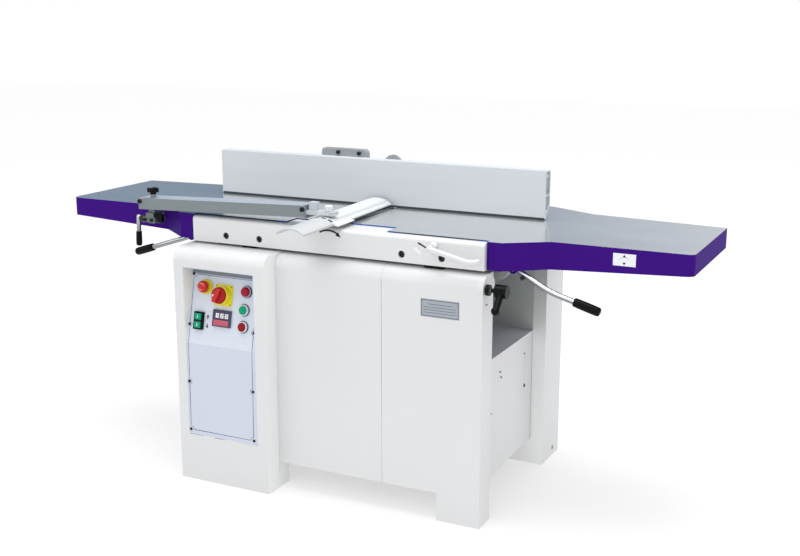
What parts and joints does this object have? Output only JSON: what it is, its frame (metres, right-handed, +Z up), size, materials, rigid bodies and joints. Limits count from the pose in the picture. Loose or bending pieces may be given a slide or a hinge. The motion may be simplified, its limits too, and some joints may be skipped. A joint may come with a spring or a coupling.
{
  "type": "combination planer thicknesser",
  "caption": "Floor-standing combination planer thicknesser with long cast tables, tilting fence, bridge guard, control pillar, rise-and-fall thicknessing table and rear hinge",
  "frame": {"origin": "centre of the four floor bolt holes, on the floor", "axes": "+X along the tables to the infeed end, +Y to the rear (hinge and fence carriage side), +Z up"},
  "size_m": [2.1175, 1.0324, 1.026],
  "materials": {
    "white_paint": "satin powder coat",
    "grey_casting": "painted casting",
    "table_casting": "ground top, painted sides",
    "brace_paint": "painted",
    "bright_steel": "machined",
    "dark_steel": "machined, oiled",
    "chrome_rod": "polished",
    "anodised": "anodised extrusion",
    "grey_alloy": "cast alloy",
    "belt_rubber": "matte",
    "black_plastic": "fine grain",
    "white_plastic": "smooth",
    "panel_film": "printed film",
    "yellow_plastic": "moulded",
    "red_plastic": "moulded",
    "green_plastic": "moulded",
    "red_lens": "clear lens",
    "bezel_metal": "turned"
  },
  "bodies": {
    "cabinet": {"control_pillar": "white_paint", "front_panel": "white_paint", "right_front_panel": "white_paint", "side_panels": "white_paint", "rear_panel": "white_paint", "rear_posts": "white_paint", "inner_deck": "white_paint", "front_cheek": "grey_casting", "rear_cheek": "grey_casting", "cutterblock_bearings": "bright_steel", "rest_pads": "belt_rubber", "hinge_brackets": "bright_steel", "control_panel": "panel_film", "control_backplates": "yellow_plastic", "button_bezels": "bezel_metal", "indicator_lamp": "red_lens", "lift_switch_frame": "black_plastic", "thickness_readout": "black_plastic", "motor": "grey_alloy", "drive_belts": "belt_rubber", "lift_sleeve": "grey_casting", "dust_outlet": "white_paint", "feed_chains": "dark_steel"},
    "cutter": {"cutterblock": "bright_steel", "knives": "bright_steel", "cutterblock_pulley": "dark_steel"},
    "motor_rotor": {"motor_pulley": "dark_steel"},
    "feed_in": {"infeed_roller": "bright_steel"},
    "feed_out": {"outfeed_roller": "bright_steel"},
    "feed_drive": {"feed_sprocket": "dark_steel"},
    "kickback": {"kickback_fingers": "bright_steel"},
    "thicknesser": {"thickness_table": "table_casting"},
    "screw": {"lift_screw": "bright_steel"},
    "table_unit": {"front_rail": "white_paint", "rear_rail": "white_paint", "hinge_pins": "bright_steel", "outfeed_table": "table_casting", "guard_bracket": "black_plastic"},
    "infeed": {"infeed_table": "table_casting", "infeed_braces": "brace_paint"},
    "depth": {"depth_lever": "white_paint"},
    "left_lock": {"left_lock_lever": "chrome_rod", "left_lever_grip": "black_plastic"},
    "right_lock": {"right_lock_lever": "chrome_rod", "right_lever_grip": "black_plastic"},
    "carriage": {"fence_carriage": "grey_alloy"},
    "fence_unit": {"fence": "anodised", "fence_backplate": "grey_alloy"},
    "guard_beam": {"guard_arm": "anodised", "guard_holder": "white_plastic"},
    "crank": {"guard_crank": "chrome_rod"},
    "star": {"guard_star_knob": "black_plastic"},
    "guard": {"guard_bridge": "white_plastic"},
    "estop": {"estop_button": "red_plastic"},
    "main_switch": {"main_switch_knob": "red_plastic"},
    "start": {"start_button": "green_plastic"},
    "stop": {"stop_button": "red_plastic"},
    "lift_up": {"up_button": "green_plastic"},
    "lift_down": {"down_button": "green_plastic"},
    "table_lock": {"lock_lever": "black_plastic"}
  },
  "joints": [
    {"name": "tables_tilt", "type": "hinge", "parent": "cabinet", "child": "table_unit", "pos_m": [0, 0.392, 0.795], "axis": [-1, 0, 0], "range_deg": [0, 80]},
    {"name": "infeed_depth", "type": "slide", "parent": "table_unit", "child": "infeed", "axis": [0.8571, 0, -0.5151], "range_m": [0, 0.01]},
    {"name": "depth_lever_turn", "type": "hinge", "parent": "table_unit", "child": "depth", "pos_m": [0.34, -0.314, 0.828], "axis": [0, -1, 0], "range_deg": [0, 31]},
    {"name": "left_lock_turn", "type": "hinge", "parent": "table_unit", "child": "left_lock", "pos_m": [-0.545, -0.245, 0.767], "axis": [0, 1, 0], "range_deg": [-30, 0]},
    {"name": "right_lock_turn", "type": "hinge", "parent": "infeed", "child": "right_lock", "pos_m": [0.558, -0.245, 0.77], "axis": [0, -1, 0], "range_deg": [-30, 0]},
    {"name": "fence_slide", "type": "slide", "parent": "table_unit", "child": "carriage", "axis": [0, 1, 0], "range_m": [-0.012, 0.08]},
    {"name": "fence_tilt", "type": "hinge", "parent": "carriage", "child": "fence_unit", "pos_m": [-0.207, 0.108, 0.862], "axis": [-1, 0, 0], "range_deg": [0, 45]},
    {"name": "guard_lift", "type": "hinge", "parent": "table_unit", "child": "guard_beam", "pos_m": [-0.665, -0.3, 0.834], "axis": [0, -1, 0], "range_deg": [0, 10]},
    {"name": "guard_crank_turn", "type": "hinge", "parent": "table_unit", "child": "crank", "pos_m": [-0.705, -0.276, 0.812], "axis": [-1, 0, 0], "range_deg": [0, 95]},
    {"name": "guard_slide", "type": "slide", "parent": "guard_beam", "child": "guard", "axis": [0.0401, -0.9992, 0], "range_m": [0, 0.2]},
    {"name": "star_knob_turn", "type": "hinge", "parent": "guard_beam", "child": "star", "pos_m": [-0.66039, -0.3, 0.90101], "axis": [-0.0358, 0, 0.9994], "range_deg": [0, 180]},
    {"name": "cutterblock_spin", "type": "hinge", "parent": "cabinet", "child": "cutter", "pos_m": [0, 0, 0.8115], "axis": [0, 1, 0], "continuous": true},
    {"name": "motor_spin", "type": "hinge", "parent": "cabinet", "child": "motor_rotor", "pos_m": [0.18, 0.25, 0.25], "axis": [0, 1, 0], "continuous": true},
    {"name": "infeed_roller_spin", "type": "hinge", "parent": "cabinet", "child": "feed_in", "pos_m": [-0.08, 0, 0.797], "axis": [0, 1, 0], "continuous": true},
    {"name": "outfeed_roller_spin", "type": "hinge", "parent": "cabinet", "child": "feed_out", "pos_m": [0.08, 0, 0.797], "axis": [0, 1, 0], "continuous": true},
    {"name": "feed_sprocket_spin", "type": "hinge", "parent": "cabinet", "child": "feed_drive", "pos_m": [0, 0.235, 0.65], "axis": [0, 1, 0], "continuous": true},
    {"name": "kickback_swing", "type": "hinge", "parent": "cabinet", "child": "kickback", "pos_m": [-0.13, 0, 0.8], "axis": [0, -1, 0], "range_deg": [0, 40]},
    {"name": "thickness_lift", "type": "slide", "parent": "cabinet", "child": "thicknesser", "axis": [0, 0, 1], "range_m": [-0.11, 0.115]},
    {"name": "lift_screw_turn", "type": "hinge", "parent": "cabinet", "child": "screw", "pos_m": [0, -0.009, 0.3], "axis": [0, 0, 1], "range_deg": [-3400, 3600]},
    {"name": "estop_press", "type": "slide", "parent": "cabinet", "child": "estop", "axis": [0, 0.9775, -0.2109], "range_m": [0, 0.006]},
    {"name": "main_switch_turn", "type": "hinge", "parent": "cabinet", "child": "main_switch", "pos_m": [-0.356, -0.36183, 0.61436], "axis": [0, -0.9775, 0.2109], "range_deg": [0, 90]},
    {"name": "start_press", "type": "slide", "parent": "cabinet", "child": "start", "axis": [0, 0.9775, -0.2109], "range_m": [0, 0.003], "stiffness_N_per_m": 800},
    {"name": "stop_press", "type": "slide", "parent": "cabinet", "child": "stop", "axis": [0, 0.9775, -0.2109], "range_m": [0, 0.003], "stiffness_N_per_m": 800},
    {"name": "lift_up_press", "type": "slide", "parent": "cabinet", "child": "lift_up", "axis": [0, 0.9775, -0.2109], "range_m": [0, 0.003], "stiffness_N_per_m": 800},
    {"name": "lift_down_press", "type": "slide", "parent": "cabinet", "child": "lift_down", "axis": [0, 0.9775, -0.2109], "range_m": [0, 0.003], "stiffness_N_per_m": 800},
    {"name": "table_lock_turn", "type": "hinge", "parent": "cabinet", "child": "table_lock", "pos_m": [0.5, -0.32, 0.717], "axis": [1, 0, 0], "range_deg": [0, 60]}
  ],
  "couplings": [
    {"joint": "depth_lever_turn", "follows": "infeed_depth", "rad_per_m": 52.36},
    {"joint": "guard_crank_turn", "follows": "guard_lift", "ratio": 9},
    {"joint": "motor_spin", "follows": "cutterblock_spin", "ratio": 0.6667},
    {"joint": "outfeed_roller_spin", "follows": "infeed_roller_spin", "ratio": 1},
    {"joint": "feed_sprocket_spin", "follows": "infeed_roller_spin", "ratio": 0.6},
    {"joint": "lift_screw_turn", "follows": "thickness_lift", "rad_per_m": 523.6}
  ]
}
